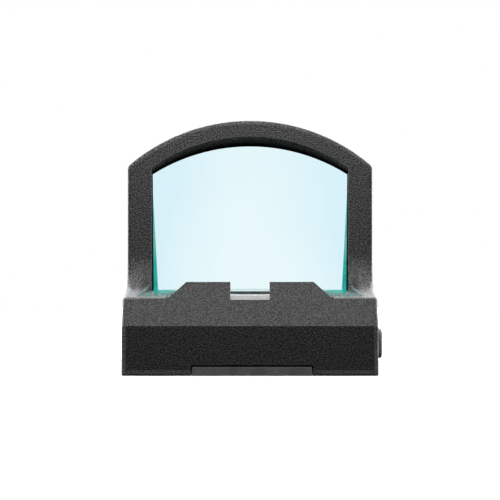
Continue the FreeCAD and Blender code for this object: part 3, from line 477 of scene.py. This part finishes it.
def teal_adhesive():
    """The bond line: clear in the middle and teal towards the sides, where the coated edge lends it light;
    its glow is painted light, paler on the ledge top and higher up, with a painted shadow under the ledge.
    """
    clear_side, teal_side = 6.8 * MM, 9.0 * MM
    ledge_top, ledge_full, ledge_end, ledge_side = 8.30 * MM, 8.10 * MM, 9.8 * MM, 9.3 * MM
    pale_start, pale_full = 10.3 * MM, 13.0 * MM
    shadow_top, shadow_full = 7.93 * MM, 7.87 * MM
    recipe = Recipe("teal_adhesive")
    flow = recipe.noise(0.7, detail=2)
    side, _, z = recipe.place()
    coated = recipe.span(side, clear_side, teal_side)
    # the ledge top, which faces the light from above, takes the paler painted glow
    ledge = recipe.product(recipe.span(z, ledge_top, ledge_full), recipe.span(side, ledge_end, ledge_side))
    pale = recipe.math("MAXIMUM", ledge, recipe.span(z, pale_start, pale_full))
    shadow = recipe.product(recipe.span(z, shadow_top, shadow_full), recipe.rest_of(coated))

    deep_glow = recipe.ramp(flow, [(0.3, (0.008, 0.32, 0.27)), (0.7, (0.03, 0.48, 0.41))])
    pale_glow = recipe.ramp(flow, [(0.3, (0.10, 0.44, 0.38)), (0.7, (0.19, 0.56, 0.50))])
    clear_glow = recipe.ramp(flow, [(0.3, (0.16, 0.22, 0.22)), (0.7, (0.24, 0.30, 0.30))])
    teal_glow = recipe.mix(pale, deep_glow, pale_glow)
    # each: its colour in the clear middle, at the teal sides and in the shadow under the ledge
    glow, skin, tint = (
        recipe.mix(shadow, recipe.mix(coated, clear, teal), shaded)
        for clear, teal, shaded in (
            (clear_glow, teal_glow, 0.0),
            ((0.26, 0.30, 0.30), (0.010, 0.075, 0.065), 0.02),
            ((0.92, 0.95, 0.95), (0.55, 0.95, 0.90), 0.05),
        )
    )
    # the emission is painted light: the bond glows though it is no lamp
    body = recipe.add(
        "ShaderNodeBsdfPrincipled",
        Base_Color=skin,
        Roughness=recipe.ramp(flow, [(0.3, 0.25), (0.7, 0.45)]),
        Emission_Color=glow,
        Emission_Strength=0.85,
        Specular_IOR_Level=0.0,
        Normal=recipe.bump(flow, 0.02, 0.4),
    )
    through = recipe.add("ShaderNodeBsdfTransparent", Color=tint)
    clearness = recipe.ramp(flow, [(0.3, 0.10), (0.7, 0.28)])
    return recipe.blend(clearness, body.outputs["BSDF"], through.outputs["BSDF"])


def blasted_alloy():
    """Pale bead-blasted aluminium with very fine pitting, with painted shade making it darker where it faces
    up.
    """
    recipe = Recipe("blasted_alloy")
    pits = recipe.noise(0.06, detail=2)
    stain = recipe.noise(0.8, detail=3)
    face = recipe.halves(pits, [(0.3, 0.70), (0.7, 0.98)], stain, [(0.35, 0.78), (0.65, 0.94)])
    top = recipe.halves(pits, [(0.3, 0.20), (0.7, 0.42)], stain, [(0.35, 0.26), (0.65, 0.36)])
    return recipe.principled(
        # painted shade: faces that look up take the darker copy of the colour
        Base_Color=recipe.mix(recipe.span(recipe.upward(), 0.4, 0.8), face, top),
        Metallic=0.35,
        Roughness=recipe.ramp(pits, [(0.3, 0.50), (0.7, 0.72)]),
        Normal=recipe.bump(pits, 0.01, 0.6),
    )


def glowing_resin():
    """The light-emitting chip's red resin, with a faint glow."""
    recipe = Recipe("led_resin")
    depth = recipe.noise(0.2, detail=2)
    colour = recipe.ramp(depth, [(0.3, (0.35, 0.02, 0.015)), (0.7, (0.75, 0.06, 0.04))])
    return recipe.principled(
        Base_Color=colour, Roughness=0.12, Emission_Color=colour, Emission_Strength=0.3
    )


MATERIALS = {
    "housing": coated_alloy(),
    "lens_glass": lens_glass(),
    "adhesive": teal_adhesive(),
    "bright_alloy": blasted_alloy(),
    "dark_steel": machined_metal("dark_steel", (0.13, 0.13, 0.135), 0.42),
    "spring_steel": machined_metal("spring_steel", (0.56, 0.56, 0.57), 0.28),
    "contact_metal": machined_metal("contact_metal", (0.83, 0.66, 0.32), 0.25, along="Y"),
    "rubber": soft_rubber(),
    "button_rubber": satin_plate("button_rubber", (0.095, 0.095, 0.097), (0.25, 0.25, 0.253), 0.18, 0.62),
    "board": board_laminate(),
    "chip_plastic": satin_plate("chip_plastic", (0.012, 0.012, 0.013), (0.035, 0.035, 0.036), 0.08, 0.55),
    "ceramic_part": satin_plate("ceramic_part", (0.36, 0.25, 0.15), (0.55, 0.42, 0.28), 0.1, 0.45),
    "led": glowing_resin(),
    "polyimide": satin_plate("polyimide", (0.42, 0.18, 0.03), (0.62, 0.30, 0.07), 0.3, 0.25),
    "insulator": satin_plate("insulator", (0.62, 0.55, 0.28), (0.78, 0.70, 0.40), 0.3, 0.4),
    "cover": satin_plate("cover_plate", (0.075, 0.073, 0.075), (0.175, 0.170, 0.173), 0.12, 0.55),
    "cell": machined_metal("cell_case", (0.74, 0.74, 0.72), 0.22),
}


def dress_cad_nodes():
    """Gives every carried-over CAD node the finish of its material slot."""
    for part in frame["record"]["subparts"]:
        piece = bpy.data.objects[part["node"]]
        piece.data.materials.clear()
        piece.data.materials.append(MATERIALS[part["material_slot"]])


# ---------------------------------------------------------------- springs


def wire_mesh(name, points, diameter):
    """A round wire along a list of points, as a mesh with closed ends."""
    curve = bpy.data.curves.new(name, "CURVE")
    curve.dimensions = "3D"
    curve.bevel_depth = diameter / 2
    curve.bevel_resolution = 3
    curve.use_fill_caps = True
    line = curve.splines.new("POLY")
    line.points.add(len(points) - 1)
    for knot, point in zip(line.points, points):
        knot.co = (*point, 1)
    holder = bpy.data.objects.new(name, curve)
    mesh = bpy.data.meshes.new_from_object(holder)
    bpy.data.objects.remove(holder)
    mesh.polygons.foreach_set("use_smooth", [True] * len(mesh.polygons))
    return mesh


def coil(node, axis, turns, pushes_up):
    """A spring that fills its CAD node's box."""
    wire, steps = 0.12 * MM, 32
    across, other = (axis + 1) % 3, (axis + 2) % 3
    low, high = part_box(node)
    middle = (low + high) / 2
    radius = (high[across] - low[across] - wire) / 2
    start, end = low[axis] + wire / 2, high[axis] - wire / 2
    points = []
    for number in range(turns * steps + 1):
        turn = 2 * math.pi * number / steps
        point = [0, 0, 0]
        point[axis] = start + (end - start) * number / (turns * steps)
        point[across] = middle[across] + radius * math.cos(turn)
        point[other] = middle[other] + radius * math.sin(turn)
        points.append(point)
    mesh = wire_mesh(node + "_line", points, wire)
    mesh.materials.clear()
    mesh.materials.append(MATERIALS["spring_steel"])
    spring = bpy.data.objects.new(node + "_wire", mesh)
    bpy.context.scene.collection.objects.link(spring)
    still, pushed = middle.copy(), middle.copy()
    still[axis], pushed[axis] = (low[axis], high[axis]) if pushes_up else (high[axis], low[axis])
    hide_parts(node)
    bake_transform(spring)


def springs():
    along_x, along_z = 0, 2
    coil("windage_spring", along_x, 5, pushes_up=False)
    coil("elevation_spring", along_z, 2, pushes_up=True)


# ---------------------------------------------------------------- stage


def floor():
    """A round white table that the softboxes light past white, and that throws no light back up."""
    reach, corners = 0.28, 96
    mesh = bpy.data.meshes.new("floor")
    turns = [2 * math.pi * number / corners for number in range(corners)]
    rim = [(reach * math.cos(turn), reach * math.sin(turn), 0) for turn in turns]
    mesh.from_pydata(rim, [], [tuple(range(corners))])
    recipe = Recipe("floor_paper")
    fibre = recipe.noise(1.5, detail=3)
    paper = recipe.ramp(fibre, [(0.3, 0.93), (0.7, 0.96)])
    mesh.materials.append(recipe.principled(Base_Color=paper, Roughness=0.9))
    table = bpy.data.objects.new("floor", mesh)
    bpy.context.scene.collection.objects.link(table)
    table.visible_diffuse = False
    table.visible_glossy = False


SOFTBOXES = {
    # name: place, size and watts
    "front_strip": ((0, -0.060, 0.10), (0.12, 0.03), 0.128),
    "near_strip": ((0, -0.030, 0.05), (0.08, 0.01), 0.018),
    "back_softbox": ((0, 0.35, 0.25), (0.5, 0.2), 2.9),
    "left_softbox": ((-0.35, 0.30, 0.12), (0.3, 0.2), 2.4),
    "right_softbox": ((0.35, 0.30, 0.12), (0.3, 0.2), 2.4),
}


def softboxes():
    target = Vector((0, 0, 0.012))
    for name, (place, size, power) in SOFTBOXES.items():
        light = bpy.data.lights.new(name, "AREA")
        light.shape = "RECTANGLE"
        light.size, light.size_y = size
        light.energy = power
        lamp = bpy.data.objects.new(name, light)
        lamp.location = place
        lamp.rotation_euler = (target - Vector(place)).to_track_quat("-Z", "Y").to_euler()
        bpy.context.scene.collection.objects.link(lamp)


def surround():
    """A white surround for the camera, which lights the object from the front of the sight only."""
    fade_start, fade_end, rear_light, front_light, backdrop = 0.1, 0.9, 0.03, 1.0, 1.0
    world = bpy.data.worlds.new("studio")
    world.use_nodes = True
    nodes, links = world.node_tree.nodes, world.node_tree.links
    background = nodes["Background"]
    direction = nodes.new("ShaderNodeSeparateXYZ")
    links.new(nodes.new("ShaderNodeTexCoord").outputs["Generated"], direction.inputs["Vector"])
    strength = nodes.new("ShaderNodeMapRange")
    strength.interpolation_type = "SMOOTHSTEP"
    strength.inputs["From Min"].default_value = fade_start
    strength.inputs["From Max"].default_value = fade_end
    strength.inputs["To Min"].default_value = rear_light
    strength.inputs["To Max"].default_value = front_light
    links.new(direction.outputs["Y"], strength.inputs["Value"])
    level = nodes.new("ShaderNodeMix")
    level.inputs["B"].default_value = backdrop
    links.new(strength.outputs["Result"], level.inputs["A"])
    links.new(nodes.new("ShaderNodeLightPath").outputs["Is Camera Ray"], level.inputs["Factor"])
    links.new(level.outputs["Result"], background.inputs["Strength"])
    background.inputs["Color"].default_value = (1, 1, 1, 1)
    bpy.context.scene.world = world


def camera():
    """Near the sight's middle height, square on to its rear, from a quarter of a metre."""
    rear = cad_box[0][1]
    distance, height, lens, sensor = 0.250, 0.01223, 185.4, 36.0
    data = bpy.data.cameras.new("camera")
    data.lens = lens
    data.sensor_width = sensor
    data.clip_start = 0.01
    viewer = bpy.data.objects.new("camera", data)
    viewer.location = (0, rear - distance, height)
    viewer.rotation_euler = (math.radians(90), 0, 0)
    bpy.context.scene.collection.objects.link(viewer)
    bpy.context.scene.camera = viewer
    bpy.context.scene.view_settings.view_transform = "Standard"


dress_cad_nodes()
springs()
floor()
surround()
softboxes()
camera()
